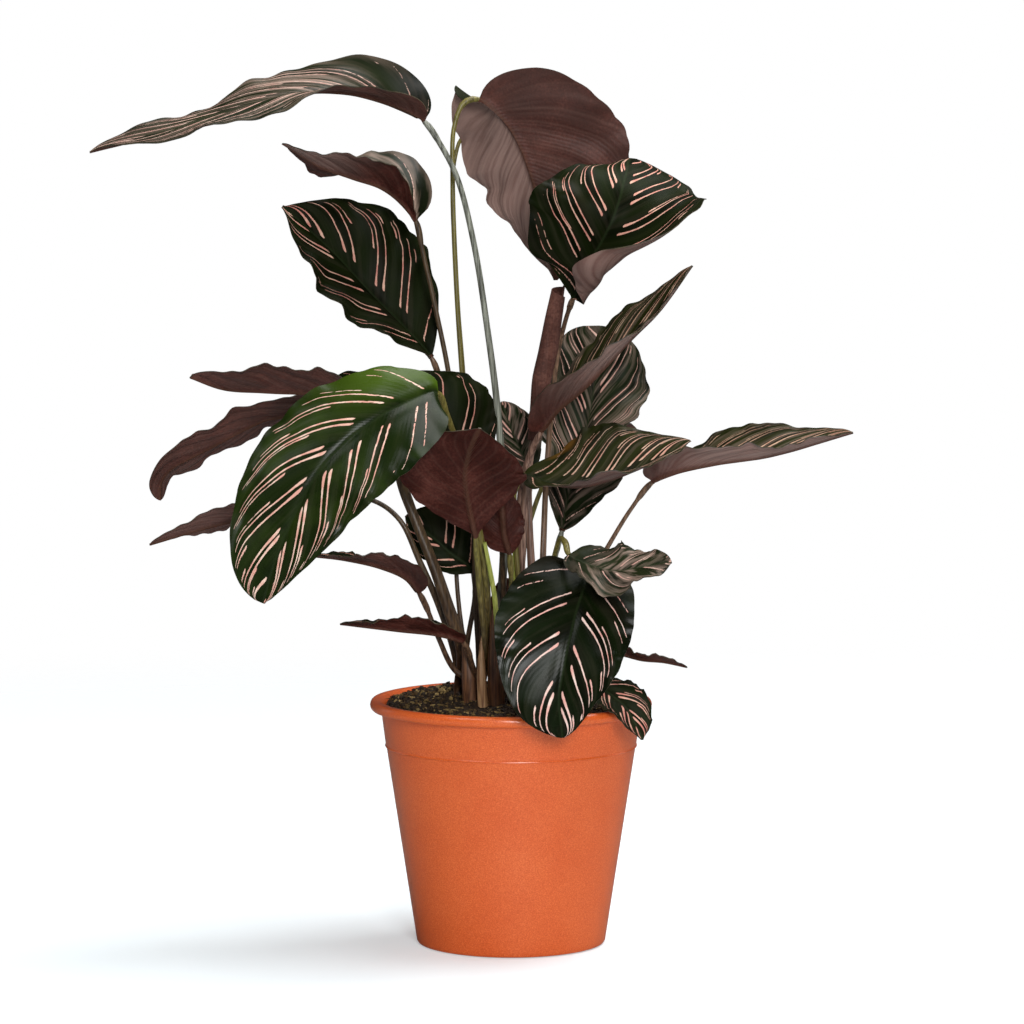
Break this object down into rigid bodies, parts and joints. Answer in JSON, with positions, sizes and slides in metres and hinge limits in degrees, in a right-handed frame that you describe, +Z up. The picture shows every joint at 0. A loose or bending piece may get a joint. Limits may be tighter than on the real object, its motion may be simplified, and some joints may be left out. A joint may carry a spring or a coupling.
{
  "type": "potted pinstripe calathea",
  "caption": "Clump of arching stalked leaves, dark with pale paired stripes above and purple beneath, growing from soil in a tapered round plastic pot with a rolled rim.",
  "frame": {"origin": "middle of the pot's foot, on the surface that it stands on", "axes": "+Z up along the pot's axis, +X to the right in the picture, +Y away from the camera"},
  "size_m": [0.4514, 0.2536, 0.5345],
  "materials": {
    "pot_plastic": "satin orange polypropylene with a fine grain",
    "soil": "moist dark peat and bark crumbs",
    "leaf": "glossy near-black green above with paired pink stripes, dull purple-brown beneath",
    "leaf_stalk": "satin olive-brown living stalk",
    "rolled_leaf": "satin purple-brown underside of a young leaf"
  },
  "bodies": {
    "root": {"pot": "pot_plastic", "soil": "soil", "stalks_back": "leaf_stalk", "stalks_tall": "leaf_stalk", "stalks_left": "leaf_stalk", "stalks_front_left": "leaf_stalk", "stalks_centre": "leaf_stalk", "stalks_front": "leaf_stalk", "stalks_right": "leaf_stalk", "stalks_tight": "leaf_stalk", "blade_top_left": "leaf", "blade_upper_left_curled": "leaf", "blade_left_flat": "leaf", "blade_top_right_underside": "leaf", "blade_right_cupped": "leaf", "blade_right_folded": "leaf", "blade_right_behind": "leaf", "blade_right_level": "leaf", "blade_far_right": "leaf", "blade_front_right": "leaf", "blade_right_wavy": "leaf", "blade_over_rim": "leaf", "blade_right_low": "leaf", "blade_front_left": "leaf", "blade_left_upper": "leaf", "blade_left_long": "leaf", "blade_left_low": "leaf", "blade_left_arched": "leaf", "blade_left_lowest": "leaf", "blade_centre_underside": "leaf", "blade_centre_dark": "leaf", "blade_centre_left": "leaf", "blade_centre_small": "leaf", "blade_centre_low": "leaf", "blade_low_left": "leaf", "blade_back_left": "leaf", "blade_back_right": "leaf", "blade_back_top": "leaf", "rolled_leaf": "rolled_leaf"}
  },
  "joints": []
}
